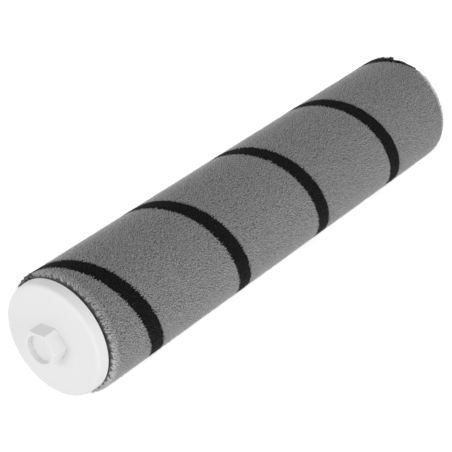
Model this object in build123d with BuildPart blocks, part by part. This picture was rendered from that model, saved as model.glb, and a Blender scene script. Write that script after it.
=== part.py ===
from build123d import *
import math
import os

# A soft roller brush for the head of a floor cleaner. A tube, covered with grey pile and one black
# stripe wound around it, turns about Y on a ball bearing. A fixed end cap with a hexagonal stub
# closes the -Y end, and the +Y end has a plug with a drive socket. +Z is up, the origin is on the
# turning axis halfway along the whole length, and all sizes are in millimetres.

# Tube and pile
tube_diameter = 38.0
tube_wall = 2.0
pile_depth = 5.0
pile_length = 214.0
near_shoulder = 3.5
far_shoulder = 1.2
shoulder_slope = 0.85  # depth of a shoulder, for its length
shoulder_bulge = 0.14  # rise of its arc, for its length
winding_pitch = 51.35
stripe_width = 6.8  # along the axis
stripe_start = 9.2  # from the pile's near end to the stripe's middle, along the top
rest_flat_width = 8.0  # the flat spot that a soft roller gets where it lies
stripe_inset = 0.05  # of the stripe's shorter pile, from the flat spot
bond_gap = 0.05

# Plugs in the ends of the tube
flange_thickness = 1.6
flange_edge_round = 0.4
spigot_depth = 18.0
spigot_lead = 0.8
plug_wall = 2.0
plug_rib = 1.6
plug_rib_count = 6

# End cap with its stub
cap_diameter = 44.6
cap_rim = 4.6
cap_dome = 0.5
cap_wall = 2.0
cap_edge_round = 1.5
cap_taper = 0.3  # of the rim's radius, from its rear to its front
cap_rib = 1.4
cap_rib_count = 6
cap_rib_setback = 0.5
hex_flats = 13.2
hex_height = 6.0
hex_edge_round = 0.3
recess_wall = 1.1
recess_depth = 2.2
stub_turn = 6.0  # degrees that the stub is turned where it lies
running_gap = 0.6  # between the fixed cap and what turns behind it

# Ball bearing
bearing_bore = 6.0
bearing_diameter = 19.0
bearing_width = 6.0
bearing_setback = 1.4
seat_wall = 2.5
seat_shoulder = 1.8
seat_gap = 0.02
ball_diameter = 3.5
ball_count = 7
race_gap = 0.05
race_depth = 0.5
shield_setback = 0.15
shield_thickness = 0.25
shield_step = 0.4
shield_gap = 0.25
cage_depth = 1.6
cage_reach = 0.9  # of its prongs, past the middle of the balls
cage_gap = 0.25
pocket_gap = 0.08

# Axle pin with its washer and clip
pin_cover = 1.5  # plastic between the recess and the pin
pin_tail = 1.6
pin_chamfer = 0.4
collar_step = 1.3
collar_width = 1.6
hub_wall = 1.3
washer_thickness = 0.5
washer_inset = 0.2
clip_thickness = 0.6
clip_slack = 0.1
clip_diameter = 11.0
clip_band = 1.5
clip_prong = 2.2
groove_depth = 0.6

# Drive socket
drive_inset = 1.5
socket_flats = 10.0
socket_depth = 14.0
socket_lead = 0.8
socket_wall = 3.0
socket_floor = 2.0

# Places along the axis
overall_length = hex_height + cap_dome + cap_rim + running_gap + pile_length
stub_face_y = -overall_length / 2
cap_crown_y = stub_face_y + hex_height
cap_edge_y = cap_crown_y + cap_dome
cap_rear_y = cap_edge_y + cap_rim
pile_near_y = cap_rear_y + running_gap
pile_far_y = pile_near_y + pile_length
tube_near_y = pile_near_y + flange_thickness
drive_face_y = pile_far_y - drive_inset
tube_far_y = drive_face_y - flange_thickness
bearing_front_y = pile_near_y + bearing_setback
bearing_middle_y = bearing_front_y + bearing_width / 2
bearing_rear_y = bearing_front_y + bearing_width
pin_head_y = stub_face_y + recess_depth + pin_cover
collar_y = pin_head_y + collar_width
clip_y = bearing_rear_y + washer_thickness
groove_end_y = clip_y + clip_thickness + clip_slack
pin_end_y = groove_end_y + pin_tail

# Radii that several pieces share
tube_radius = tube_diameter / 2
pile_radius = tube_radius + pile_depth
pile_root_radius = tube_radius + bond_gap
spigot_radius = tube_radius - tube_wall - bond_gap
cap_radius = cap_diameter / 2
cap_front_radius = cap_radius - cap_taper
pin_radius = bearing_bore / 2 - seat_gap
collar_radius = pin_radius + collar_step
groove_radius = pin_radius - groove_depth
seat_radius = bearing_diameter / 2 + seat_gap
recess_radius = hex_flats / 2 - recess_wall
ball_circle_radius = (bearing_bore + bearing_diameter) / 4
race_radius = ball_diameter / 2 + race_gap
inner_land_radius = ball_circle_radius - ball_diameter / 2 + race_depth
outer_land_radius = ball_circle_radius + ball_diameter / 2 - race_depth
shield_inner_y = bearing_width / 2 - shield_setback - shield_thickness
rest_z = -math.sqrt(pile_radius**2 - (rest_flat_width / 2) ** 2)
stripe_radius = -rest_z - stripe_inset

# Angles of the stripe where it starts, seen along the axis
stripe_sector = 360 * stripe_width / winding_pitch
stripe_angle = -90 - 360 * stripe_start / winding_pitch


def across(y, toward=1):
    """A plane square to the axis at y, with its normal toward +Y, or toward -Y for -1."""
    return Plane(origin=(0, y, 0), x_dir=(1, 0, 0), z_dir=(0, toward, 0))


def wound_band(middle_angle, angle, radius):
    """Adds a band of pile that winds along the axis: a sector of a ring, turned by a guiding helix."""
    with BuildSketch(across(pile_near_y)) as sector:
        with BuildLine():
            root = CenterArc((0, 0), pile_root_radius, middle_angle - angle / 2, angle)
            tips = CenterArc((0, 0), radius, middle_angle - angle / 2, angle)
            Line(root @ 0, tips @ 0)
            Line(root @ 1, tips @ 1)
        make_face()
    with BuildLine() as spine:
        Line((0, pile_near_y, 0), (0, pile_far_y, 0))
    helix = Edge.make_helix(winding_pitch, pile_length, pile_radius, spine.line @ 0, (0, 1, 0))
    sweep(sector.sketch, path=spine.line, binormal=helix)


def round_shoulder(end_y, reach):
    """Cuts the open part's pile to a round shoulder, of a signed reach along Y from one end."""
    edge_radius = pile_radius - shoulder_slope * abs(reach)
    outside = pile_radius + pile_depth
    with BuildSketch(Plane.XY) as corner:
        with BuildLine():
            SagittaArc((edge_radius, end_y), (pile_radius, end_y + reach), -shoulder_bulge * reach)
            Polyline(
                (pile_radius, end_y + reach),
                (outside, end_y + reach),
                (outside, end_y - reach),
                (edge_radius, end_y - reach),
                (edge_radius, end_y),
            )
        make_face()
    revolve(corner.sketch, axis=Axis.Y, mode=Mode.SUBTRACT)


def ribbed_plug(face, hub_radius, hub_depth):
    """Adds a flange, a spigot in the tube, a hub and ribs, inward from the flange's outer face."""
    behind = face.offset(flange_thickness)
    with BuildSketch(face) as flange:
        Circle(tube_radius)
    extrude(flange.sketch, amount=flange_thickness)
    with BuildSketch(behind) as spigot:
        Circle(spigot_radius)
        Circle(spigot_radius - plug_wall, mode=Mode.SUBTRACT)
    extrude(spigot.sketch, amount=spigot_depth)
    chamfer(edges(Select.LAST).sort_by_distance(face.origin)[-1], spigot_lead)
    with BuildSketch(behind) as hub:
        Circle(hub_radius)
        rib_length = spigot_radius - plug_wall / 2
        with PolarLocations(0, plug_rib_count):
            Rectangle(rib_length, plug_rib, align=(Align.MIN, Align.CENTER))
    extrude(hub.sketch, amount=hub_depth - flange_thickness)


# Tube
with BuildPart() as core_tube:
    with BuildSketch(across(tube_near_y)):
        Circle(tube_radius)
        Circle(tube_radius - tube_wall, mode=Mode.SUBTRACT)
    extrude(amount=tube_far_y - tube_near_y)

# Grey pile
with BuildPart() as grey_pile:
    wound_band(stripe_angle + 180, 360 - stripe_sector, pile_radius)
    split(bisect_by=Plane.XY.offset(rest_z), keep=Keep.TOP)
    round_shoulder(pile_near_y, near_shoulder)
    round_shoulder(pile_far_y, -far_shoulder)

# Black stripe
with BuildPart() as black_stripe:
    wound_band(stripe_angle, stripe_sector, stripe_radius)
    round_shoulder(pile_near_y, near_shoulder)
    round_shoulder(pile_far_y, -far_shoulder)

# Plug with the bearing's seat
with BuildPart() as bearing_plug:
    seat_depth = bearing_rear_y - pile_near_y
    ribbed_plug(across(pile_near_y), seat_radius + seat_wall, seat_depth + seat_shoulder)
    rim = bearing_plug.edges().filter_by(GeomType.CIRCLE).group_by(Axis.Y)[0].sort_by(SortBy.RADIUS)[-1]
    fillet(rim, flange_edge_round)
    with BuildSketch(across(pile_near_y)):
        Circle(seat_radius)
    extrude(amount=seat_depth, mode=Mode.SUBTRACT)
    with BuildSketch(across(bearing_rear_y)):
        Circle(outer_land_radius)
    extrude(amount=seat_shoulder, mode=Mode.SUBTRACT)

# Bearing: outer ring with a step on each side for its shields
with BuildPart() as bearing_outer_ring:
    with BuildSketch(Plane.XY):
        with Locations((outer_land_radius, bearing_middle_y)):
            ring_wall = bearing_diameter / 2 - outer_land_radius
            Rectangle(ring_wall, bearing_width, align=(Align.MIN, Align.CENTER))
        with Locations((ball_circle_radius, bearing_middle_y)):
            Circle(race_radius, mode=Mode.SUBTRACT)
        with Locations((outer_land_radius, bearing_front_y), (outer_land_radius, bearing_rear_y)):
            step_height = 2 * (bearing_width / 2 - shield_inner_y)
            Rectangle(2 * shield_step, step_height, mode=Mode.SUBTRACT)
    revolve(axis=Axis.Y)

# Bearing: inner ring
with BuildPart() as bearing_inner_ring:
    with BuildSketch(Plane.XY):
        with Locations((bearing_bore / 2, bearing_middle_y)):
            ring_wall = inner_land_radius - bearing_bore / 2
            Rectangle(ring_wall, bearing_width, align=(Align.MIN, Align.CENTER))
        with Locations((ball_circle_radius, bearing_middle_y)):
            Circle(race_radius, mode=Mode.SUBTRACT)
    revolve(axis=Axis.Y)

# Bearing: balls
with BuildPart(across(bearing_middle_y)) as bearing_balls:
    with PolarLocations(ball_circle_radius, ball_count):
        Sphere(ball_diameter / 2)

# Bearing: crown cage, a ring behind the balls with pockets that open toward the cap
with BuildPart(across(bearing_middle_y)) as bearing_cage:
    cage_back = shield_inner_y - cage_gap
    with BuildSketch(across(bearing_middle_y + cage_back, -1)):
        Circle(ball_circle_radius + cage_depth / 2)
        Circle(ball_circle_radius - cage_depth / 2, mode=Mode.SUBTRACT)
    extrude(amount=cage_back + cage_reach)
    with PolarLocations(ball_circle_radius, ball_count):
        Sphere(ball_diameter / 2 + pocket_gap, mode=Mode.SUBTRACT)

# Bearing: shields, one on each side
with BuildPart() as bearing_shields:
    front_shield = across(bearing_middle_y - shield_inner_y, -1)
    rear_shield = across(bearing_middle_y + shield_inner_y)
    with BuildSketch(front_shield, rear_shield):
        Circle(outer_land_radius + shield_step - seat_gap)
        Circle(inner_land_radius + shield_gap, mode=Mode.SUBTRACT)
    extrude(amount=shield_thickness)

# Axle pin: a collar holds it in the moulded stub, a groove takes the clip
with BuildPart() as axle_pin:
    with BuildSketch(Plane.XY):
        with Locations((0, pin_head_y)):
            Rectangle(pin_radius, pin_end_y - pin_head_y, align=(Align.MIN, Align.MIN))
        with Locations((0, collar_y)):
            Rectangle(collar_radius, collar_width, align=(Align.MIN, Align.MIN))
        with Locations((groove_radius, clip_y)):
            Rectangle(pin_radius, groove_end_y - clip_y, align=(Align.MIN, Align.MIN), mode=Mode.SUBTRACT)
    revolve(axis=Axis.Y)
    chamfer(axle_pin.edges().sort_by(Axis.Y)[-1], pin_chamfer)

# Washer between the bearing's inner ring and the clip
with BuildPart() as axle_washer:
    with BuildSketch(across(bearing_rear_y)):
        Circle(inner_land_radius - washer_inset)
        Circle(bearing_bore / 2 + seat_gap, mode=Mode.SUBTRACT)
    extrude(amount=washer_thickness)

# Clip in the pin's groove: an open ring with three prongs
with BuildPart() as axle_clip:
    with BuildSketch(across(clip_y)):
        clip_radius = clip_diameter / 2
        Circle(clip_radius)
        Circle(clip_radius - clip_band, mode=Mode.SUBTRACT)
        with PolarLocations(0, 3, start_angle=90, angular_range=180, endpoint=True):
            Rectangle(clip_radius - clip_band / 2, clip_prong, align=(Align.MIN, Align.CENTER))
        Circle(groove_radius + seat_gap, mode=Mode.SUBTRACT)
        Rectangle(clip_radius, 2 * groove_radius, align=(Align.MIN, Align.CENTER), mode=Mode.SUBTRACT)
    extrude(amount=clip_thickness)

# End cap: ribs trimmed to the domed envelope, then the shell, the hub and the stub
with BuildPart() as end_cap:
    with BuildSketch(across(cap_crown_y)):
        with PolarLocations(0, cap_rib_count):
            Rectangle(cap_radius, cap_rib, align=(Align.MIN, Align.CENTER))
    extrude(amount=cap_rear_y - cap_rib_setback - cap_crown_y)
    with BuildSketch(Plane.XY) as outline:
        with BuildLine():
            dome = TangentArc((0, cap_crown_y), (cap_front_radius, cap_edge_y), tangent=(1, 0))
            Polyline(dome @ 1, (cap_radius, cap_rear_y), (0, cap_rear_y), dome @ 0)
        make_face()
        fillet(outline.vertices().sort_by_distance(dome @ 1)[0], cap_edge_round)
    revolve(axis=Axis.Y, mode=Mode.INTERSECT)
    with BuildSketch(Plane.XY):
        add(outline.sketch)
        hollow_radius = cap_front_radius - cap_wall
        hollow_crown_y = cap_crown_y + cap_wall
        hollow_edge_y = cap_edge_y + cap_wall
        with BuildLine():
            TangentArc((0, hollow_crown_y), (hollow_radius, hollow_edge_y), tangent=(1, 0))
            Polyline((hollow_radius, hollow_edge_y), (hollow_radius, cap_rear_y), (0, cap_rear_y))
            Line((0, cap_rear_y), (0, hollow_crown_y))
        make_face(mode=Mode.SUBTRACT)
    revolve(axis=Axis.Y)
    with BuildSketch(across(cap_crown_y)):
        Circle(pin_radius + hub_wall)
    extrude(amount=bearing_front_y - cap_crown_y)
    with BuildSketch(across(stub_face_y)):
        RegularPolygon(hex_flats / 2, 6, major_radius=False, rotation=-stub_turn)
    extrude(amount=hex_height + cap_wall / 2)
    with BuildSketch(across(stub_face_y)):
        Circle(recess_radius)
    extrude(amount=recess_depth, mode=Mode.SUBTRACT)
    fillet(end_cap.faces().sort_by(Axis.Y)[0].edges(), hex_edge_round)
    add(axle_pin.part, mode=Mode.SUBTRACT)

# Plug with the drive socket
with BuildPart() as drive_plug:
    socket_radius = socket_flats / math.sqrt(3)
    hub_radius = socket_radius + socket_wall
    hub_depth = socket_depth + socket_floor - drive_inset
    ribbed_plug(across(drive_face_y, -1), hub_radius, hub_depth)
    rim = drive_plug.edges().filter_by(GeomType.CIRCLE).group_by(Axis.Y)[-1].sort_by(SortBy.RADIUS)[-1]
    fillet(rim, flange_edge_round)
    with BuildSketch(across(drive_face_y)):
        Circle(hub_radius)
    extrude(amount=drive_inset)
    with BuildSketch(across(pile_far_y, -1)):
        RegularPolygon(socket_radius, 6)
    extrude(amount=socket_depth, mode=Mode.SUBTRACT)
    mouth = drive_plug.faces().sort_by(Axis.Y)[-1].inner_wires()
    chamfer(mouth.edges(), socket_lead)

pieces = {
    "core_tube": core_tube,
    "grey_pile": grey_pile,
    "black_stripe": black_stripe,
    "bearing_plug": bearing_plug,
    "bearing_outer_ring": bearing_outer_ring,
    "bearing_inner_ring": bearing_inner_ring,
    "bearing_balls": bearing_balls,
    "bearing_cage": bearing_cage,
    "bearing_shields": bearing_shields,
    "axle_pin": axle_pin,
    "axle_washer": axle_washer,
    "axle_clip": axle_clip,
    "end_cap": end_cap,
    "drive_plug": drive_plug,
}

os.makedirs("parts", exist_ok=True)
for name, piece in pieces.items():
    piece.part.label = name
    export_step(piece.part, f"parts/{name}.step")
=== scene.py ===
"""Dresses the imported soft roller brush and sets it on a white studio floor.

The pile is made of separate tufts that stand on a wound backing. Every rigid node keeps its CAD
shape and gets a finish. Lengths are in metres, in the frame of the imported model.
"""

import logging
import math
from dataclasses import dataclass
from enum import Enum

import bpy
import numpy as np
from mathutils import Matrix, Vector


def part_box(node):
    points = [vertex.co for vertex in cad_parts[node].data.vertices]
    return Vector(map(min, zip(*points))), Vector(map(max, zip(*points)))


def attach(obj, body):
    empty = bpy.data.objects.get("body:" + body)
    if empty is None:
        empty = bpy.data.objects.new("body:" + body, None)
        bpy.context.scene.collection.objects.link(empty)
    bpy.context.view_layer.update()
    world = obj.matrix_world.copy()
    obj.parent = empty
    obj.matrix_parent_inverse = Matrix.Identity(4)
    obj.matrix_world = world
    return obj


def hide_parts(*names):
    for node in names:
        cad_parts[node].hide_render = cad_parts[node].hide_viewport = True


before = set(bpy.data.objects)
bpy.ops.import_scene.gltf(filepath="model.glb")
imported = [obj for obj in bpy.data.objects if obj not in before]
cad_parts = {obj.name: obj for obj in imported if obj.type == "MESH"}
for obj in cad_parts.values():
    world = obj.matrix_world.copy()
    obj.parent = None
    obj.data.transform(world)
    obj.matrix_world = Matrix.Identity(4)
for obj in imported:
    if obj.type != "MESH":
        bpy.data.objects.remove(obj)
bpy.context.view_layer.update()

LOG = logging.getLogger("roller")
MM = 0.001
TONE_MAP = "OFBake"
TONE_COLUMN = 0.003  # width of one tuft in the tone map
FOOT_PLACES = (0.004, 0.004, 0.008)  # heights of the corners of its foot there
TIP_PLACE = 0.996  # height of its tip there
SPIKE_FACES = np.array([[0, 1, 3], [1, 2, 3], [2, 0, 3], [0, 2, 1]])
MIX_FIRST, MIX_SECOND, MIX_RESULT = 6, 7, 2  # the colour sockets of a Mix node
NOISE_MIDDLE = 0.5
Colour = tuple[float, float, float]
Place = tuple[float, float, float]


class Body(Enum):
    """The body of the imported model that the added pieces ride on."""

    ROLLER = "roller"


class Band(Enum):
    """The two bands of pile, by the CAD node that each one stands for."""

    GREY = "grey_pile"
    BLACK = "black_stripe"


def grey(level: float) -> Colour:
    """Returns a neutral colour of one level."""
    return (level, level, level)


def new_group(
    name: str, inputs: dict[str, tuple[str, object]], outputs: dict[str, str]
) -> tuple[bpy.types.NodeTree, bpy.types.Node, bpy.types.Node]:
    """Starts a shader node group with named sockets.

    Args:
        name: The group's name.
        inputs: For each input, its socket type and its default value.
        outputs: For each output, its socket type.

    Returns:
        The node tree, its input node and its output node.
    """
    tree = bpy.data.node_groups.new(name, "ShaderNodeTree")
    for label, (kind, value) in inputs.items():
        socket = tree.interface.new_socket(label, in_out="INPUT", socket_type=kind)
        if value is not None:
            socket.default_value = value
    for label, kind in outputs.items():
        tree.interface.new_socket(label, in_out="OUTPUT", socket_type=kind)
    return tree, tree.nodes.new("NodeGroupInput"), tree.nodes.new("NodeGroupOutput")


def add_node(
    tree: bpy.types.NodeTree, kind: str, values: dict[str | int, object] | None = None, **settings: object
) -> bpy.types.Node:
    """Adds a node with its settings and socket values.

    Args:
        tree: The node tree that gets the node.
        kind: The node's type.
        values: Default values by input name or index.
        **settings: Attributes of the node itself.

    Returns:
        The new node.
    """
    node = tree.nodes.new(kind)
    for key, value in settings.items():
        setattr(node, key, value)
    for key, value in (values or {}).items():
        node.inputs[key].default_value = value
    return node


class Effects:
    """Shader node groups that the finishes use, each built once."""

    _made: dict[str, bpy.types.NodeTree] = {}

    @classmethod
    def get(cls, name: str) -> bpy.types.NodeTree:
        """Returns the named group, and builds it at its first use."""
        if name not in cls._made:
            cls._made[name] = getattr(cls, f"_{name}")()
        return cls._made[name]

    @staticmethod
    def _vary(
        tree: bpy.types.NodeTree, source: bpy.types.Node, noise: bpy.types.Node, amount: str
    ) -> tuple[bpy.types.NodeSocket, bpy.types.NodeSocket]:
        """Varies a group's colour by a noise.

        The colour is scaled by 1 plus the amount times the noise's swing about its middle.

        Args:
            tree: The group.
            source: The group's input node.
            noise: The noise node.
            amount: The name of the group's input that holds the amount.

        Returns:
            The swing and the varied colour.
        """
        links = tree.links
        swing = add_node(tree, "ShaderNodeMath", {1: NOISE_MIDDLE}, operation="SUBTRACT")
        links.new(noise.outputs["Fac"], swing.inputs[0])
        share = add_node(tree, "ShaderNodeMath", {2: 1.0}, operation="MULTIPLY_ADD")
        links.new(swing.outputs[0], share.inputs[0])
        links.new(source.outputs[amount], share.inputs[1])
        tone = add_node(tree, "ShaderNodeVectorMath", operation="SCALE")
        links.new(source.outputs["Colour"], tone.inputs[0])
        links.new(share.outputs[0], tone.inputs["Scale"])
        return swing.outputs[0], tone.outputs[0]

    @staticmethod
    def _blend(
        tree: bpy.types.NodeTree,
        factor: bpy.types.NodeSocket,
        first: bpy.types.NodeSocket,
        second: bpy.types.NodeSocket,
    ) -> bpy.types.NodeSocket:
        """Returns the blend of two colours by a factor."""
        mix = add_node(tree, "ShaderNodeMix", data_type="RGBA")
        tree.links.new(factor, mix.inputs["Factor"])
        tree.links.new(first, mix.inputs[MIX_FIRST])
        tree.links.new(second, mix.inputs[MIX_SECOND])
        return mix.outputs[MIX_RESULT]

    @staticmethod
    def _moulded_skin() -> bpy.types.NodeTree:
        """Builds the skin of moulded plastic: faint cloudy tone, satin patches and a fine grain."""
        tree, source, sink = new_group(
            "moulded_skin",
            {
                "Vector": ("NodeSocketVector", None),
                "Colour": ("NodeSocketColor", (0.8, 0.8, 0.8, 1)),
                "Roughness": ("NodeSocketFloat", 0.4),
                "Cloud": ("NodeSocketFloat", 0.04),
                "Grain Scale": ("NodeSocketFloat", 2500.0),
            },
            {"Colour": "NodeSocketColor", "Roughness": "NodeSocketFloat", "Height": "NodeSocketFloat"},
        )
        satin_swing = 0.12
        links = tree.links
        cloud = add_node(tree, "ShaderNodeTexNoise", {"Scale": 90.0, "Detail": 3.0})
        grain = add_node(tree, "ShaderNodeTexNoise", {"Detail": 2.0, "Roughness": 0.6})
        links.new(source.outputs["Vector"], cloud.inputs["Vector"])
        links.new(source.outputs["Vector"], grain.inputs["Vector"])
        links.new(source.outputs["Grain Scale"], grain.inputs["Scale"])
        swing, tone = Effects._vary(tree, source, cloud, "Cloud")
        links.new(tone, sink.inputs["Colour"])
        satin = add_node(tree, "ShaderNodeMath", {1: satin_swing}, operation="MULTIPLY_ADD")
        links.new(swing, satin.inputs[0])
        links.new(source.outputs["Roughness"], satin.inputs[2])
        links.new(satin.outputs[0], sink.inputs["Roughness"])
        links.new(grain.outputs["Fac"], sink.inputs["Height"])
        return tree

    @staticmethod
    def _turned_marks() -> bpy.types.NodeTree:
        """Builds the marks of turned or ground metal: fine rings about Y that vary tone and roughness."""
        tree, source, sink = new_group(
            "turned_marks",
            {
                "Vector": ("NodeSocketVector", None),
                "Colour": ("NodeSocketColor", (0.5, 0.5, 0.5, 1)),
                "Roughness": ("NodeSocketFloat", 0.3),
                "Ring Scale": ("NodeSocketFloat", 5000.0),
                "Depth": ("NodeSocketFloat", 0.2),
            },
            {"Colour": "NodeSocketColor", "Roughness": "NodeSocketFloat", "Height": "NodeSocketFloat"},
        )
        links = tree.links
        parts = add_node(tree, "ShaderNodeSeparateXYZ")
        links.new(source.outputs["Vector"], parts.inputs[0])
        flat = add_node(tree, "ShaderNodeCombineXYZ")
        links.new(parts.outputs["X"], flat.inputs["X"])
        links.new(parts.outputs["Z"], flat.inputs["Y"])
        radius = add_node(tree, "ShaderNodeVectorMath", operation="LENGTH")
        links.new(flat.outputs[0], radius.inputs[0])
        place = add_node(tree, "ShaderNodeCombineXYZ")
        links.new(radius.outputs["Value"], place.inputs["X"])
        links.new(parts.outputs["Y"], place.inputs["Y"])
        rings = add_node(tree, "ShaderNodeTexNoise", {"Detail": 2.0})
        links.new(place.outputs[0], rings.inputs["Vector"])
        links.new(source.outputs["Ring Scale"], rings.inputs["Scale"])
        swing, tone = Effects._vary(tree, source, rings, "Depth")
        links.new(tone, sink.inputs["Colour"])
        rough = add_node(tree, "ShaderNodeMath", operation="MULTIPLY_ADD")
        links.new(swing, rough.inputs[0])
        links.new(source.outputs["Depth"], rough.inputs[1])
        links.new(source.outputs["Roughness"], rough.inputs[2])
        links.new(rough.outputs[0], sink.inputs["Roughness"])
        links.new(rings.outputs["Fac"], sink.inputs["Height"])
        return tree

    @staticmethod
    def _fibre_tone() -> bpy.types.NodeTree:
        """Builds a fibre's tone by its tone map: its root's painted shade, its own tip, and its point's
        painted highlight.
        """
        tree, source, sink = new_group(
            "fibre_tone",
            {
                "Place": ("NodeSocketVector", None),
                "Root": ("NodeSocketColor", (0.02, 0.02, 0.02, 1)),
                "Dark Tip": ("NodeSocketColor", (0.1, 0.1, 0.1, 1)),
                "Pale Tip": ("NodeSocketColor", (0.3, 0.3, 0.3, 1)),
                "Point": ("NodeSocketColor", (0.5, 0.5, 0.5, 1)),
            },
            {"Colour": "NodeSocketColor", "Roughness": "NodeSocketFloat"},
        )
        eased = {"interpolation_type": "SMOOTHSTEP"}
        colours = source.outputs
        links = tree.links
        parts = add_node(tree, "ShaderNodeSeparateXYZ")
        links.new(source.outputs["Place"], parts.inputs[0])
        tip = Effects._blend(tree, parts.outputs["X"], colours["Dark Tip"], colours["Pale Tip"])
        # painted shade: the dark root fades into the tip over the lower part of the map
        rise = add_node(tree, "ShaderNodeMapRange", {"From Max": 0.6}, **eased)
        links.new(parts.outputs["Y"], rise.inputs["Value"])
        whole = Effects._blend(tree, rise.outputs["Result"], colours["Root"], tip)
        # painted highlight: the point's colour over the top of the map
        last = add_node(tree, "ShaderNodeMapRange", {"From Min": 0.7}, **eased)
        links.new(parts.outputs["Y"], last.inputs["Value"])
        pointed = Effects._blend(tree, last.outputs["Result"], whole, colours["Point"])
        links.new(pointed, sink.inputs["Colour"])
        rough = add_node(tree, "ShaderNodeMapRange", {"To Min": 0.95, "To Max": 0.75})
        links.new(parts.outputs["Y"], rough.inputs["Value"])
        links.new(rough.outputs["Result"], sink.inputs["Roughness"])
        return tree


def start_material(name: str) -> tuple[bpy.types.Material, bpy.types.NodeTree, bpy.types.Node]:
    """Starts a material with a Principled shader.

    Args:
        name: The material's name.

    Returns:
        The material, its node tree and its Principled node.
    """
    material = bpy.data.materials.new(name)
    material.use_nodes = True
    tree = material.node_tree
    return material, tree, tree.nodes["Principled BSDF"]


def lay_effect(
    tree: bpy.types.NodeTree,
    shader: bpy.types.Node,
    effect: str,
    values: dict[str, object],
    relief: float,
    depth: float,
) -> None:
    """Lays a shared effect with its relief on a shader, on Object coordinates.

    Args:
        tree: The material's node tree.
        shader: Its Principled node.
        effect: The effect's name.
        values: The effect's values by input name.
        relief: Strength of the relief.
        depth: Depth of the relief.
    """
    links = tree.links
    place = add_node(tree, "ShaderNodeTexCoord")
    group = add_node(tree, "ShaderNodeGroup", values, node_tree=Effects.get(effect))
    links.new(place.outputs["Object"], group.inputs["Vector"])
    links.new(group.outputs["Colour"], shader.inputs["Base Color"])
    links.new(group.outputs["Roughness"], shader.inputs["Roughness"])
    bump = add_node(tree, "ShaderNodeBump", {"Strength": relief, "Distance": depth})
    links.new(group.outputs["Height"], bump.inputs["Height"])
    links.new(bump.outputs["Normal"], shader.inputs["Normal"])


@dataclass(frozen=True)
class PlasticFinish:
    """A moulded plastic with a satin skin."""

    name: str
    colour: Colour
    roughness: float
    cloud: float = 0.04
    grain_scale: float = 2500.0
    grain: float = 0.06
    grain_depth: float = 0.05 * MM
    ior: float = 1.47

    def material(self) -> bpy.types.Material:
        """Returns the finish as a material on Object coordinates."""
        material, tree, shader = start_material(self.name)
        values = {
            "Colour": (*self.colour, 1),
            "Roughness": self.roughness,
            "Cloud": self.cloud,
            "Grain Scale": self.grain_scale,
        }
        lay_effect(tree, shader, "moulded_skin", values, self.grain, self.grain_depth)
        shader.inputs["IOR"].default_value = self.ior
        return material


@dataclass(frozen=True)
class SteelFinish:
    """A turned, ground or pressed steel."""

    name: str
    colour: Colour
    roughness: float
    ring_scale: float = 5000.0
    depth: float = 0.2
    marks: float = 0.1
    mark_depth: float = 0.02 * MM

    def material(self) -> bpy.types.Material:
        """Returns the finish as a material on Object coordinates."""
        material, tree, shader = start_material(self.name)
        values = {
            "Colour": (*self.colour, 1),
            "Roughness": self.roughness,
            "Ring Scale": self.ring_scale,
            "Depth": self.depth,
        }
        lay_effect(tree, shader, "turned_marks", values, self.marks, self.mark_depth)
        shader.inputs["Metallic"].default_value = 1.0
        return material


@dataclass(frozen=True)
class FibreFinish:
    """A matt fibre, dark at its root as painted shade, with a tip between two tones and a point of a
    colour of its own, a painted highlight.
    """

    name: str
    # painted shade deep in the pile, at each fibre's root
    root: Colour
    dark_tip: Colour
    pale_tip: Colour
    # painted highlight on the tips
    point: Colour
    sheen: float
    sheen_roughness: float = 0.4
    specular: float = 0.05

    def material(self) -> bpy.types.Material:
        """Returns the finish as a material on the fibres' tone map."""
        material, tree, shader = start_material(self.name)
        links = tree.links
        place = add_node(tree, "ShaderNodeUVMap", uv_map=TONE_MAP)
        values = {
            "Root": (*self.root, 1),
            "Dark Tip": (*self.dark_tip, 1),
            "Pale Tip": (*self.pale_tip, 1),
            "Point": (*self.point, 1),
        }
        tone = add_node(tree, "ShaderNodeGroup", values, node_tree=Effects.get("fibre_tone"))
        links.new(place.outputs["UV"], tone.inputs["Place"])
        links.new(tone.outputs["Colour"], shader.inputs["Base Color"])
        links.new(tone.outputs["Roughness"], shader.inputs["Roughness"])
        shader.inputs["Specular IOR Level"].default_value = self.specular
        shader.inputs["Sheen Weight"].default_value = self.sheen
        shader.inputs["Sheen Roughness"].default_value = self.sheen_roughness
        return material


@dataclass(frozen=True)
class BackingFinish:
    """The woven backing under the pile, seen only between the tufts."""

    name: str
    colour: Colour
    weave_scale: float = 700.0
    knot_tone: float = 1.3
    gap_tone: float = 0.5
    relief: float = 0.6
    relief_depth: float = 0.3 * MM
    roughness: float = 0.95
    specular: float = 0.1

    def material(self) -> bpy.types.Material:
        """Returns the finish as a material on Object coordinates."""
        material, tree, shader = start_material(self.name)
        links = tree.links
        place = add_node(tree, "ShaderNodeTexCoord")
        knots = add_node(tree, "ShaderNodeTexVoronoi", {"Scale": self.weave_scale})
        links.new(place.outputs["Object"], knots.inputs["Vector"])
        tone = add_node(tree, "ShaderNodeMapRange", {"To Min": self.knot_tone, "To Max": self.gap_tone})
        links.new(knots.outputs["Distance"], tone.inputs["Value"])
        colour = add_node(tree, "ShaderNodeVectorMath", operation="SCALE")
        colour.inputs[0].default_value = self.colour
        links.new(tone.outputs["Result"], colour.inputs["Scale"])
        links.new(colour.outputs[0], shader.inputs["Base Color"])
        values = {"Strength": self.relief, "Distance": self.relief_depth}
        bump = add_node(tree, "ShaderNodeBump", values, invert=True)
        links.new(knots.outputs["Distance"], bump.inputs["Height"])
        links.new(bump.outputs["Normal"], shader.inputs["Normal"])
        shader.inputs["Roughness"].default_value = self.roughness
        shader.inputs["Specular IOR Level"].default_value = self.specular
        return material


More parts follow.
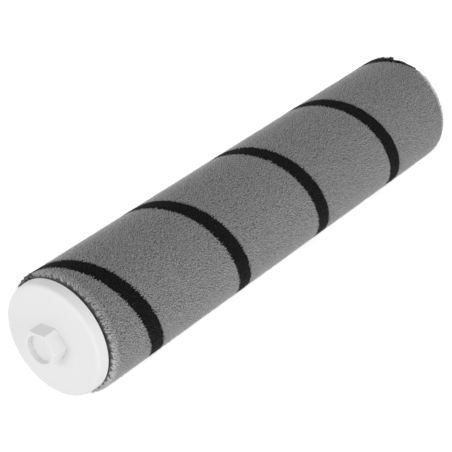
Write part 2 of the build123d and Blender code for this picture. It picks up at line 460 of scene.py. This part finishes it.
def mesh_piece(
    name: str, points: np.ndarray, faces: np.ndarray, material: bpy.types.Material
) -> bpy.types.Object:
    """Makes an object of a mesh whose faces all have the same number of corners.

    Args:
        name: The piece's name.
        points: Its vertices, one row each, in metres.
        faces: Its faces, one row of vertex numbers each.
        material: Its finish.

    Returns:
        The new object, at the origin and smooth shaded.
    """
    mesh = bpy.data.meshes.new(name)
    count, corners = faces.shape
    mesh.vertices.add(len(points))
    mesh.vertices.foreach_set("co", points.astype(np.float32).ravel())
    mesh.loops.add(count * corners)
    mesh.loops.foreach_set("vertex_index", faces.astype(np.int32).ravel())
    mesh.polygons.add(count)
    mesh.polygons.foreach_set("loop_start", np.arange(0, count * corners, corners, dtype=np.int32))
    mesh.polygons.foreach_set("use_smooth", np.ones(count, dtype=bool))
    mesh.update(calc_edges=True)
    mesh.validate()
    mesh.materials.append(material)
    piece = bpy.data.objects.new(name, mesh)
    bpy.context.scene.collection.objects.link(piece)
    return piece


def grid_faces(rows: int, columns: int) -> np.ndarray:
    """Joins a grid of points into quads, with its columns closed into a loop.

    Args:
        rows: Number of rows of points.
        columns: Number of points in each row.

    Returns:
        One row of four vertex numbers for each quad.
    """
    row, column = np.meshgrid(np.arange(rows - 1), np.arange(columns), indexing="ij")
    after = (column + 1) % columns
    here, above = row * columns, (row + 1) * columns
    quads = (here + column, here + after, above + after, above + column)
    return np.stack(quads, axis=-1).reshape(-1, 4)


@dataclass(frozen=True)
class Strip:
    """What differs between the two wound strips of pile.

    Attributes:
        slot: The material slot of its pieces; not used.
        pieces: Number of pieces that its tufts are split into along Y.
        arc: Number of points across its backing.
        stray: Spread of its tufts' leans over its edges.
        rise: How far its tips rise at the near end, or drop if negative.
        splay: How far its tips splay out past the far end.
        tone: The usual tone of its tufts.
        paling: Share of the far end's painted light and of the grain that it takes.
    """

    slot: str
    pieces: int
    arc: int
    stray: float
    rise: float
    splay: float
    tone: float
    paling: float


STRIPS = {
    Band.GREY: Strip(
        slot="grey_fibre",
        pieces=4,
        arc=60,
        stray=0.12 * MM,
        rise=-0.4 * MM,
        splay=1.0 * MM,
        tone=0.17,
        paling=1.0,
    ),
    Band.BLACK: Strip(
        slot="black_fibre",
        pieces=1,
        arc=12,
        stray=0.3 * MM,
        rise=0.4 * MM,
        splay=2.0 * MM,
        tone=0.01,
        paling=0.3,
    ),
}


@dataclass
class Tufts:
    """Some tufts, as arrays with one row or value for each of them.

    Attributes:
        roots: The middles of their feet.
        tips: Their tips.
        width: How far the corners of their feet lie from the middles.
        tone: Their tones, from 0 for the dark tip's colour to 1 for the pale tip's.
        shade: Where in the tone map their feet start, from 0 at the root, whose dark is painted shade, to
            1 at the point.
    """

    roots: np.ndarray
    tips: np.ndarray
    width: np.ndarray
    tone: np.ndarray
    shade: np.ndarray

    def pick(self, own: np.ndarray) -> "Tufts":
        """Returns the tufts that a mask names."""
        return Tufts(self.roots[own], self.tips[own], self.width[own], self.tone[own], self.shade[own])


@dataclass(frozen=True)
class PileTones:
    """How the tufts' tones vary over the pile, painted light and shade among them."""

    deep: float = 0.5  # factor on a deep tuft's tone: painted shade of a pit
    far_darker: float = 0.25  # share of the tone that is lost along Y
    hair: float = 0.65  # the most that a stray hair gains
    spread: float = 0.04
    grain_fade: float = 0.4  # share of the grain that is lost along Y
    # painted backlight at the far end and in its fringe around one angle
    far_end_light: float = 0.3
    fringe: float = 0.9
    fringe_angle: float = math.radians(47)
    fringe_power: int = 4
    # painted highlight on the near end's ridge, and painted light at its lower right
    ridge: float = 0.45
    lower_right_light: float = 0.35  # painted light gained at the lower right
    ridge_spread: float = 0.1


@dataclass
class Pile:
    """The pile of the roller: a wound backing and the tufts that stand on it."""

    near_y: float
    far_y: float
    tip_radius: float
    floor_z: float
    tube_radius: float = 19.05 * MM
    backing_radius: float = 23.75 * MM
    backing_steps: int = 240
    backing_in: float = 0.4 * MM  # from the end of the tufts to that of the backing
    backing_lift: float = 0.2 * MM  # from the floor
    pitch: float = 51.35 * MM
    stripe_width: float = 7.2 * MM  # along Y; grey tufts lean over its edges
    stripe_start: float = 9.2 * MM  # from the near end to its middle, on the top line
    start_bend: float = 2.5 * MM  # of the winding along Y, at the near end
    bend_reach: float = 6.0 * MM
    bend_return: float = 1.2  # of the bend, let go at the very end
    near_in: float = 0.5 * MM  # from the solid pile's near end to the first tufts
    far_over: float = 0.8 * MM  # from the solid pile's far end to the last tufts
    near_reach: float = 4.0 * MM  # how far in the nearness to the near end reaches
    far_reach: float = 2.0 * MM
    near_drop: float = 1.9 * MM
    far_drop: float = 0.2 * MM
    drop_power: int = 5
    notch: float = math.radians(-8)  # past which the stripe's end is set back
    notch_reach: float = math.radians(8)
    notch_depth: float = 1.4 * MM
    cut_back: float = 0.8 * MM
    flare: float = 1.2 * MM  # of each side of the stripe, at the far end
    tuft_step: float = 0.4 * MM
    tuft_width: float = 0.33 * MM  # from the middle of a tuft's foot to its corners
    tuft_over: float = 0.1 * MM  # from the solid pile to the tips
    place_stray: float = 0.3  # of a step
    row_start: float = 0.25  # of a step
    row_shift: float = 0.5  # of a step, on every second row
    end_share: float = 0.001  # of the length, left free at each end
    unevenness: float = 0.1 * MM
    uneven_range: tuple[float, float] = (0.3, 1.7)  # factor on what the ends do to a tuft
    lean: float = 0.11 * MM
    edge_reach: float = 1.3 * MM
    tooth_width: float = 0.6 * MM
    tooth_depth: float = 0.65 * MM
    clump_width: float = 1.6 * MM
    clump_depth: float = 0.3  # share by which a clump changes the nearness
    clump_lean: float = 0.5 * MM
    least_stray: float = 0.1  # of a clump
    root_sink: float = 0.1 * MM  # into the backing
    root_share: float = 0.8  # of the lean over the band's edge
    root_shift: float = 0.5 * MM  # inwards at both ends
    # painted shade: the share of dark tufts that stand for shaded pits
    shaded_pit_share: float = 0.09
    hair_share: float = 0.08
    hair_over: float = 0.35 * MM
    hair_width: float = 0.4  # of a tuft's
    low_start: float = math.radians(45)  # where the lower right begins
    low_shade: float = 0.7  # share of the roots' painted shade that stays hidden at the lower right, where painted light falls
    usual_shade: float = 0.5  # where in the tone map most tufts start, above the painted root shade
    side_shade: float = 0.3  # share of a spike's own form in its normals
    tones: PileTones = PileTones()
    seed: int = 17

    @property
    def start_y(self) -> float:
        """Returns where the tufts start, a little behind the solid pile's near end."""
        return self.near_y + self.near_in

    @property
    def end_y(self) -> float:
        """Returns where the soft far end lies, a little past the solid pile's."""
        return self.far_y + self.far_over

    def ends(self, y: np.ndarray) -> tuple[np.ndarray, np.ndarray]:
        """Gives how near places are to the ends of the pile.

        Args:
            y: Places along the axis.

        Returns:
            Shares that rise from 0 inside to 1 at the near end, and at the far end.
        """
        near = np.clip(1 - (y - self.start_y) / self.near_reach, 0, 1)
        far = np.clip(1 - (self.end_y - y) / self.far_reach, 0, 1)
        return near, far

    def shoulder(self, y: np.ndarray) -> np.ndarray:
        """Gives how far the backing drops, by a power of the nearness to each end."""
        near, far = self.ends(y)
        return self.near_drop * near**self.drop_power + self.far_drop * far**2

    def lower_right(self, angle: np.ndarray) -> np.ndarray:
        """Gives how far round to the lower right some angles are, by the square of a sine."""
        return np.clip(np.sin(angle - self.low_start), 0, 1) ** 2

    def width(self, band: Band) -> float:
        """Returns the width of a band along the axis."""
        return self.stripe_width if band is Band.BLACK else self.pitch - self.stripe_width

    def middle(self, band: Band) -> float:
        """Returns where the middle of a band crosses the top of the roller, along Y."""
        black = self.near_y + self.stripe_start
        return black if band is Band.BLACK else black + self.pitch / 2

    def angle(self, y: np.ndarray, across: np.ndarray, band: Band) -> np.ndarray:
        """Gives the angle of a place on a band, from +Z towards +X.

        The bands wind as a right-handed helix, so the angle grows by one turn for each pitch along Y,
        and falls by the same rate across the band. At the near end the winding is bent along Y by an
        amount that dies away from that end, and is let go again by the fourth power of the nearness.
        At the far end each side of the black stripe is wider by the flare, in proportion to the
        nearness, and each side of the grey band narrower.

        Args:
            y: Places along the axis.
            across: Offsets across the band, along the axis from its middle.
            band: The band.

        Returns:
            The angles in radians.
        """
        near, far = self.ends(y)
        flare = self.flare * far * (1 if band is Band.BLACK else -1)
        across = across * (1 + 2 * flare / self.width(band))
        held = 1 - self.bend_return * near**4
        bend = self.start_bend * np.exp((self.near_y - y) / self.bend_reach) * held
        return 2 * np.pi * (y - self.middle(band) - across - bend) / self.pitch

    def reach(self, band: Band, angle: np.ndarray) -> np.ndarray:
        """Gives how far along Y a band reaches at some angles.

        The black stripe's cut end has a notch: past one angle it is set back, and more so close to the
        notch, by a depth that dies away with the angle.

        Args:
            band: The band.
            angle: The angles in radians.

        Returns:
            The ends along Y.
        """
        turned = np.remainder(angle + np.pi, 2 * np.pi) - np.pi
        past = np.maximum(turned - self.notch, 0)
        depth = self.cut_back + self.notch_depth * np.exp(-past / self.notch_reach)
        return self.end_y - np.where((past > 0) & (band is Band.BLACK), depth, 0)

    def backing(self, band: Band, material: bpy.types.Material) -> bpy.types.Object:
        """Makes the woven backing of one band.

        Its section is a sector of a ring, carried along Y and turned with the winding. At each end the
        last section is drawn in to a line between its walls, which closes the band.

        Args:
            band: The band.
            material: Its finish.

        Returns:
            The piece.
        """
        arc = STRIPS[band].arc
        y = np.linspace(self.start_y + self.backing_in, self.end_y - self.backing_in, self.backing_steps)
        across = np.linspace(-0.5, 0.5, arc) * self.width(band)
        loop_radius = np.repeat([self.backing_radius, self.tube_radius], arc)
        loop_across = np.concatenate([across, across[::-1]])
        grid_y = np.concatenate([y[:1], y, y[-1:]])[:, None]
        radius = np.broadcast_to(loop_radius, (len(grid_y), 2 * arc)).copy()
        radius[:, :arc] -= self.shoulder(grid_y)
        radius[[0, -1]] = (self.tube_radius + self.backing_radius) / 2
        angle = self.angle(grid_y, loop_across[None, :], band)
        rows = np.minimum(grid_y, self.reach(band, angle) - self.backing_in)
        points = np.stack([radius * np.sin(angle), rows, radius * np.cos(angle)], axis=-1)
        points[..., 2] = np.maximum(points[..., 2], self.floor_z + self.backing_lift)
        faces = grid_faces(len(grid_y), 2 * arc)
        return mesh_piece(f"{band.value}_backing", points.reshape(-1, 3), faces, material)

    def tufts(self, band: Band, draw: np.random.Generator) -> tuple[np.ndarray, np.ndarray, np.ndarray]:
        """Places the tufts of a band in rows along its winding.

        A tuft stands at a share of the length along a row, and at an offset across the band; every
        second row is shifted by half a step, and each tuft strays a little from its place. Towards an
        edge of the band the tufts follow its small teeth, which both bands share, and lean out over it
        by the size of a normal stray.

        Args:
            band: The band.
            draw: Source of the small strays.

        Returns:
            The tufts' places along Y, their angles and their leans over the band's edge, along Y.
        """
        length = self.end_y - self.start_y
        turn = math.hypot(2 * np.pi * self.tip_radius, self.pitch)
        along = round(length / self.pitch * turn / self.tuft_step)
        rows = round(self.width(band) / self.tuft_step)
        row, place = np.meshgrid(np.arange(rows), np.arange(along), indexing="ij")
        stray = draw.uniform(-self.place_stray, self.place_stray, (2, rows, along))
        share = (place + self.row_start + self.row_shift * (row % 2) + stray[0]) / along
        across = ((row + 0.5 + stray[1]) / rows - 0.5) * self.width(band)
        y = self.start_y + np.clip(share, self.end_share, 1 - self.end_share) * length
        angle = self.angle(y, across, band)
        at_edge = np.clip(1 - (self.width(band) / 2 - np.abs(across)) / self.edge_reach, 0, 1)
        teeth = self.tooth_depth * self.clumps(angle, self.tooth_width, np.random.default_rng(self.seed))
        out = np.abs(draw.normal(0, STRIPS[band].stray, across.shape))
        over = at_edge * (teeth + np.sign(across) * out)
        y = np.minimum(y, self.reach(band, angle))
        return y.ravel(), angle.ravel(), over.ravel()

    def clumps(self, angle: np.ndarray, width: float, draw: np.random.Generator) -> np.ndarray:
        """Gives each tuft the stray of its clump.

        Each short stretch around the roller is a clump with one draw, and its sign changes from each
        clump to the next.

        Args:
            angle: The tufts' angles.
            width: The clumps' width.
            draw: Source of the strays.

        Returns:
            Values from -1 to 1.
        """
        count = round(2 * np.pi * self.tip_radius / width)
        stray = draw.uniform(self.least_stray, 1, count) * np.where(np.arange(count) % 2, 1, -1)
        return stray[np.floor(angle / (2 * np.pi) * count).astype(int) % count]

    def tint(
        self,
        band: Band,
        y: np.ndarray,
        angle: np.ndarray,
        deep: np.ndarray,
        hair: np.ndarray,
        draw: np.random.Generator,
    ) -> np.ndarray:
        """Works out the tones of some tufts.

        The strip's own tone falls along Y, and is lower on deep tufts, as painted shade of pits. Stray
        hairs and a normal spread add a grain that fades along Y. The far end is paler in proportion to
        the nearness, with a fringe around one angle by the square root of the nearness: painted
        backlight through the frayed end. At the near end a pale ridge comes in by a smooth step of the
        nearness, a painted highlight on the shoulder, and is palest at the lower right, as painted light.

        Args:
            band: The tufts' band.
            y: The tufts' places along Y.
            angle: The tufts' angles.
            deep: Which tufts are deep.
            hair: Which tufts are stray hairs.
            draw: Source of the grain.

        Returns:
            Tones from 0 to 1.
        """
        count = len(y)
        strip, tones = STRIPS[band], self.tones
        near, far = self.ends(y)
        along = (y - self.start_y) / (self.end_y - self.start_y)
        grain = hair * draw.uniform(0, tones.hair, count) + draw.normal(0, tones.spread, count)
        grain = grain * (1 - tones.grain_fade * along)
        # painted backlight: the far end paler, most in a fringe around one angle
        fringe = np.clip(np.cos(angle - tones.fringe_angle), 0, 1) ** tones.fringe_power
        painted_far_light = tones.far_end_light * far + tones.fringe * fringe * np.sqrt(far)
        # painted highlight on the near ridge, more of it at the lower right as painted light
        ridge = tones.ridge + tones.lower_right_light * self.lower_right(angle)
        ridge = ridge + draw.normal(0, tones.ridge_spread, count)
        # deep tufts are darker: painted shade of pits in the pile
        tone = strip.tone * np.where(deep, tones.deep, 1 - tones.far_darker * along)
        tone += strip.paling * (painted_far_light + grain)
        tone += near**2 * (3 - 2 * near) * ridge
        return np.clip(tone, 0, 1)

    def stand(
        self, band: Band, y: np.ndarray, angle: np.ndarray, over: np.ndarray, draw: np.random.Generator
    ) -> Tufts:
        """Works out the roots, tips and tones of some tufts.

        A tuft stands on the backing and its tip lies a little over the pile's radius, with a lean of
        its own. A few are stray hairs, thinner and longer. At the near end the tufts show their dark
        roots, painted shade in the gap by the cap, less so at the lower right where painted light falls,
        and the grey ones drop and the black ones rise. All this goes by a power of the nearness, which
        differs from clump to clump, and the clumps lean along Y by the cube of the nearness. At the far
        end the tufts splay out past the end, by the square of the nearness. Away from the near end all
        but a few deep tufts start half way up the tone map, above the painted shade of the root; the
        deep ones show it in full, as painted shade of pits in the pile.

        Args:
            band: The tufts' band.
            y: The tufts' places along Y.
            angle: The tufts' angles.
            over: The tufts' leans along Y over the edge of their band.
            draw: Source of the leans and lengths.

        Returns:
            The tufts.
        """
        count = len(y)
        lean = draw.normal(0, self.lean, (2, count))
        drop = draw.normal(0, self.unevenness, count)
        clump = self.clumps(angle, self.clump_width, draw)
        uneven = draw.uniform(*self.uneven_range, count)
        # deep tufts: painted shade of pits, darker and with their dark roots shown
        deep = draw.uniform(0, 1, count) < self.shaded_pit_share
        hair = draw.uniform(0, 1, count) < self.hair_share
        tone = self.tint(band, y, angle, deep, hair, draw)
        strip = STRIPS[band]
        near, far = self.ends(y)
        edge = np.clip(near * (1 + self.clump_depth * clump), 0, 1) ** self.drop_power
        splay = far**2 * strip.splay * (1 + uneven) / 2
        root_y = y + self.root_share * over + self.root_shift * (edge - far**2)
        tip_y = y + over + lean[0] + splay + self.clump_lean * near**3 * clump
        tip_angle = angle + lean[1] / self.tip_radius
        root_radius = self.backing_radius - self.root_sink - self.shoulder(y)
        tip_radius = self.tip_radius + self.tuft_over + self.hair_over * hair - drop
        tip_radius += strip.rise * edge * uneven
        tips = np.stack([tip_radius * np.sin(tip_angle), tip_y, tip_radius * np.cos(tip_angle)], axis=-1)
        tips[:, 2] = np.maximum(tips[:, 2], self.floor_z)
        roots = np.stack([root_radius * np.sin(angle), root_y, root_radius * np.cos(angle)], axis=-1)
        roots[:, 2] = np.maximum(roots[:, 2], self.floor_z + self.tuft_width)
        # painted shade: dark roots shown at the near end, fewer at the lower right as painted light
        shown = 1 - edge * (1 - self.low_shade * self.lower_right(angle))
        return Tufts(
            roots=roots,
            tips=tips,
            width=self.tuft_width * np.where(hair, self.hair_width, 1.0),
            tone=tone,
            shade=np.where(deep, 0.0, self.usual_shade * shown),
        )

    def outward(self, points: np.ndarray) -> np.ndarray:
        """Gives the pile's own outward direction at some points, turned forward at the near end.

        Args:
            points: Places in or on the pile, with X, Y and Z last.

        Returns:
            Directions of length 1.
        """
        near, _ = self.ends(points[..., 1])
        way = points * (1.0, 0.0, 1.0)
        way = way / np.linalg.norm(way, axis=-1, keepdims=True)
        way[..., 1] = -(near**2)
        return way / np.linalg.norm(way, axis=-1, keepdims=True)

    def spikes(
        self, name: str, tufts: Tufts, draw: np.random.Generator, material: bpy.types.Material
    ) -> bpy.types.Object:
        """Makes tufts as slim closed spikes: a small triangle at each root, drawn to a point at the tip.

        Their normals follow the pile as a whole, with a share of each spike's own round form.

        Args:
            name: The piece's name.
            tufts: The tufts.
            draw: Source of each tuft's turn about itself.
            material: The tufts' finish.

        Returns:
            The piece.
        """
        count = len(tufts.roots)
        line = tufts.tips - tufts.roots
        line = line / np.linalg.norm(line, axis=1, keepdims=True)
        side = np.cross(line, np.roll(line, 1, axis=1))
        side = side / np.linalg.norm(side, axis=1, keepdims=True)
        ahead = np.cross(line, side)
        turn = draw.uniform(0, 2 * np.pi, (count, 1, 1)) + np.array([0, 2, 4])[None, :, None] * np.pi / 3
        ring = np.cos(turn) * side[:, None] + np.sin(turn) * ahead[:, None]
        foot = tufts.roots[:, None] + tufts.width[:, None, None] * ring
        points = np.concatenate([foot, tufts.tips[:, None]], axis=1)
        faces = (np.arange(count)[:, None, None] * points.shape[1] + SPIKE_FACES).reshape(-1, 3)
        piece = mesh_piece(name, points.reshape(-1, 3), faces, material)
        normals = self.outward(points)
        normals[:, :3] += self.side_shade * ring
        normals /= np.linalg.norm(normals, axis=2, keepdims=True)
        piece.data.normals_split_custom_set_from_vertices(normals.reshape(-1, 3))
        corner_u = TONE_COLUMN * np.array([0.0, 1.0, 0.5, 0.5])[SPIKE_FACES.ravel()]
        corner_v = np.array([*FOOT_PLACES, TIP_PLACE])[SPIKE_FACES.ravel()]
        u = tufts.tone[:, None] * (1 - TONE_COLUMN) + corner_u
        v = 1 - (1 - tufts.shade[:, None]) * (1 - corner_v)
        layer = piece.data.uv_layers.new(name=TONE_MAP)
        layer.uv.foreach_set("vector", np.stack([u, v], axis=-1).astype(np.float32).ravel())
        return piece

    def build(self, finishes: dict[Band, tuple[FibreFinish, BackingFinish]]) -> list[bpy.types.Object]:
        """Makes both bands and lets them ride on the roller.

        Args:
            finishes: The finish of each band's tufts and backing.

        Returns:
            The pieces.
        """
        pieces = []
        draw = np.random.default_rng(self.seed)
        for band, strip in STRIPS.items():
            fibre, backing = finishes[band]
            base = self.backing(band, backing.material())
            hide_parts(band.value)
            made = [base]
            y, angle, over = self.tufts(band, draw)
            tufts = self.stand(band, y, angle, over, draw)
            cloth = fibre.material()
            edges = np.linspace(self.start_y, self.end_y, strip.pieces + 1)
            part = np.clip(np.searchsorted(edges, y) - 1, 0, strip.pieces - 1)
            for number in range(strip.pieces):
                name = f"{band.value}_tufts_{number + 1}"
                made.append(self.spikes(name, tufts.pick(part == number), draw, cloth))
            for piece in made:
                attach(piece, Body.ROLLER.value)
            pieces += made
        return pieces


@dataclass
class Hardware:
    """The rigid nodes, which keep their CAD shapes and get their finishes."""

    finishes: dict[str, PlasticFinish | SteelFinish]

    def dress(self) -> list[bpy.types.Object]:
        """Gives each rigid node its finish.

        Returns:
            The nodes.
        """
        made: dict[str, bpy.types.Material] = {}
        nodes = []
        for node, finish in self.finishes.items():
            if finish.name not in made:
                made[finish.name] = finish.material()
            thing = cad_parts[node]
            thing.data.materials.clear()
            thing.data.materials.append(made[finish.name])
            nodes.append(thing)
        return nodes


@dataclass(frozen=True)
class Lamp:
    """A square soft lamp that faces the roller, with its side in metres and its power in watts."""

    name: str
    place: Place
    side: float
    power: float

    def build(self) -> None:
        """Hangs the lamp."""
        light = bpy.data.lights.new(self.name, "AREA")
        light.shape = "SQUARE"
        light.size = self.side
        light.energy = self.power
        lamp = bpy.data.objects.new(self.name, light)
        lamp.location = self.place
        lamp.rotation_euler = (-Vector(self.place)).to_track_quat("-Z", "Y").to_euler()
        bpy.context.scene.collection.objects.link(lamp)


@dataclass
class Studio:
    """The white floor, the soft lights and the camera."""

    floor_z: float
    floor_side: float = 6.0
    floor_tone: float = 0.9
    floor_glow: float = 0.76
    horizon_light: float = 0.9
    zenith_light: float = 0.45
    lamps: tuple[Lamp, ...] = (
        Lamp("lamp_front", (-0.3, -1.25, 0.0), side=0.9, power=7.5),
        Lamp("lamp_right", (1.2, -0.2, 0.05), side=0.9, power=8.5),
    )
    camera_place: Place = (0.33353, -0.43446, 0.33599)
    camera_aim: Place = (-0.002473, -0.004629, -0.003414)
    lens: float = 130.623
    sensor_width: float = 36.0
    clip_start: float = 0.01
    clip_end: float = 50.0

    def looked_at(self, tree: bpy.types.NodeTree) -> bpy.types.NodeSocket:
        """Returns a mask that is 1 for rays from the camera, also by way of metal or glass."""
        path = add_node(tree, "ShaderNodeLightPath")
        mirrored = add_node(tree, "ShaderNodeMath", operation="MAXIMUM")
        tree.links.new(path.outputs["Is Glossy Ray"], mirrored.inputs[0])
        tree.links.new(path.outputs["Is Transmission Ray"], mirrored.inputs[1])
        either = add_node(tree, "ShaderNodeMath", operation="MAXIMUM")
        tree.links.new(path.outputs["Is Camera Ray"], either.inputs[0])
        tree.links.new(mirrored.outputs[0], either.inputs[1])
        return either.outputs[0]

    def floor(self) -> None:
        """Makes the floor: a pale matt plane that looks white to the camera and keeps a soft shadow."""
        half = self.floor_side / 2
        points = np.array([(-half, -half, 0), (half, -half, 0), (half, half, 0), (-half, half, 0)])
        points[:, 2] = self.floor_z
        material = bpy.data.materials.new("studio_floor")
        material.use_nodes = True
        tree = material.node_tree
        tree.nodes.remove(tree.nodes["Principled BSDF"])
        matt = add_node(tree, "ShaderNodeBsdfDiffuse", {"Color": (*grey(self.floor_tone), 1)})
        glow = add_node(tree, "ShaderNodeEmission", {"Strength": self.floor_glow})
        none = add_node(tree, "ShaderNodeEmission", {"Strength": 0.0})
        seen = add_node(tree, "ShaderNodeMixShader")
        both = add_node(tree, "ShaderNodeAddShader")
        tree.links.new(self.looked_at(tree), seen.inputs["Fac"])
        tree.links.new(none.outputs[0], seen.inputs[1])
        tree.links.new(glow.outputs[0], seen.inputs[2])
        tree.links.new(matt.outputs[0], both.inputs[0])
        tree.links.new(seen.outputs[0], both.inputs[1])
        tree.links.new(both.outputs[0], tree.nodes["Material Output"].inputs["Surface"])
        floor = mesh_piece("studio_floor", points, np.array([[0, 1, 2, 3]]), material)

    def world(self) -> None:
        """Sets a soft surround, dimmer overhead, which is white to the camera and in reflections."""
        world = bpy.data.worlds.new("studio")
        bpy.context.scene.world = world
        world.use_nodes = True
        tree = world.node_tree
        even = tree.nodes["Background"]
        even.inputs["Color"].default_value = (1, 1, 1, 1)
        place = add_node(tree, "ShaderNodeTexCoord")
        parts = add_node(tree, "ShaderNodeSeparateXYZ")
        tree.links.new(place.outputs["Generated"], parts.inputs[0])
        levels = {"To Min": self.horizon_light, "To Max": self.zenith_light}
        level = add_node(tree, "ShaderNodeMapRange", levels)
        tree.links.new(parts.outputs["Z"], level.inputs["Value"])
        tree.links.new(level.outputs["Result"], even.inputs["Strength"])
        white = add_node(tree, "ShaderNodeBackground", {"Color": (1, 1, 1, 1), "Strength": 1.0})
        seen = add_node(tree, "ShaderNodeMixShader")
        tree.links.new(self.looked_at(tree), seen.inputs["Fac"])
        tree.links.new(even.outputs[0], seen.inputs[1])
        tree.links.new(white.outputs[0], seen.inputs[2])
        tree.links.new(seen.outputs[0], tree.nodes["World Output"].inputs["Surface"])

    def camera(self) -> None:
        """Sets the camera at the photograph's viewpoint."""
        data = bpy.data.cameras.new("camera")
        data.lens = self.lens
        data.sensor_width = self.sensor_width
        data.clip_start = self.clip_start
        data.clip_end = self.clip_end
        camera = bpy.data.objects.new("camera", data)
        camera.location = self.camera_place
        aim = Vector(self.camera_aim) - Vector(self.camera_place)
        camera.rotation_euler = aim.to_track_quat("-Z", "Y").to_euler()
        bpy.context.scene.collection.objects.link(camera)
        bpy.context.scene.camera = camera

    def build(self) -> None:
        """Sets up floor, surround, lamps, camera and view settings."""
        self.floor()
        self.world()
        for lamp in self.lamps:
            lamp.build()
        self.camera()
        bpy.context.scene.view_settings.view_transform = "Standard"


# Root colours are painted shade deep in the pile; point colours are painted highlights on the tips.
GREY_FIBRE = FibreFinish(
    "grey_fibre",
    root=grey(0.03),
    dark_tip=grey(0.075),
    pale_tip=grey(0.75),
    point=grey(0.95),
    sheen=1.0,
)
BLACK_FIBRE = FibreFinish(
    "black_fibre",
    root=grey(0.006),
    dark_tip=grey(0.001),
    pale_tip=grey(0.42),
    point=grey(0.05),
    sheen=0.11,
)
GREY_BACKING = BackingFinish("grey_backing", grey(0.2))
BLACK_BACKING = BackingFinish("black_backing", grey(0.006))
CAP_PLASTIC = PlasticFinish("cap_plastic", grey(0.82), roughness=0.42, cloud=0.02)
PLUG_PLASTIC = PlasticFinish("plug_plastic", grey(0.76), roughness=0.45)
TUBE_PLASTIC = PlasticFinish("tube_plastic", (0.35, 0.35, 0.36), roughness=0.5)
CAGE_NYLON = PlasticFinish("cage_nylon", (0.6, 0.57, 0.48), roughness=0.55, cloud=0.1)
BEARING_STEEL = SteelFinish("bearing_steel", (0.55, 0.55, 0.56), roughness=0.25)
BALL_STEEL = SteelFinish("ball_steel", (0.6, 0.6, 0.61), roughness=0.1, depth=0.05, marks=0.02)
SHIELD_STEEL = SteelFinish("shield_steel", grey(0.5), roughness=0.35, depth=0.3)
PIN_STEEL = SteelFinish("pin_steel", (0.52, 0.52, 0.53), roughness=0.3, depth=0.3)
CLIP_STEEL = SteelFinish("clip_steel", (0.14, 0.13, 0.12), roughness=0.4, depth=0.3)


def main() -> None:
    """Builds the pile, dresses the rigid nodes and sets up the studio."""
    logging.basicConfig(level=logging.INFO, format="%(name)s: %(message)s")
    low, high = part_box(Band.GREY.value)
    pile = Pile(near_y=low.y, far_y=high.y, tip_radius=high.x, floor_z=low.z)
    cloths = {Band.GREY: (GREY_FIBRE, GREY_BACKING), Band.BLACK: (BLACK_FIBRE, BLACK_BACKING)}
    for piece in pile.build(cloths):
        LOG.info("%s: %d faces", piece.name, len(piece.data.polygons))
    hardware = Hardware(
        {
            "end_cap": CAP_PLASTIC,
            "bearing_plug": PLUG_PLASTIC,
            "drive_plug": PLUG_PLASTIC,
            "core_tube": TUBE_PLASTIC,
            "bearing_cage": CAGE_NYLON,
            "bearing_outer_ring": BEARING_STEEL,
            "bearing_inner_ring": BEARING_STEEL,
            "bearing_balls": BALL_STEEL,
            "bearing_shields": SHIELD_STEEL,
            "axle_washer": SHIELD_STEEL,
            "axle_pin": PIN_STEEL,
            "axle_clip": CLIP_STEEL,
        }
    )
    for node in hardware.dress():
        LOG.info("%s: %s", node.name, node.data.materials[0].name)
    Studio(floor_z=low.z).build()


if __name__ == "__main__":
    main()
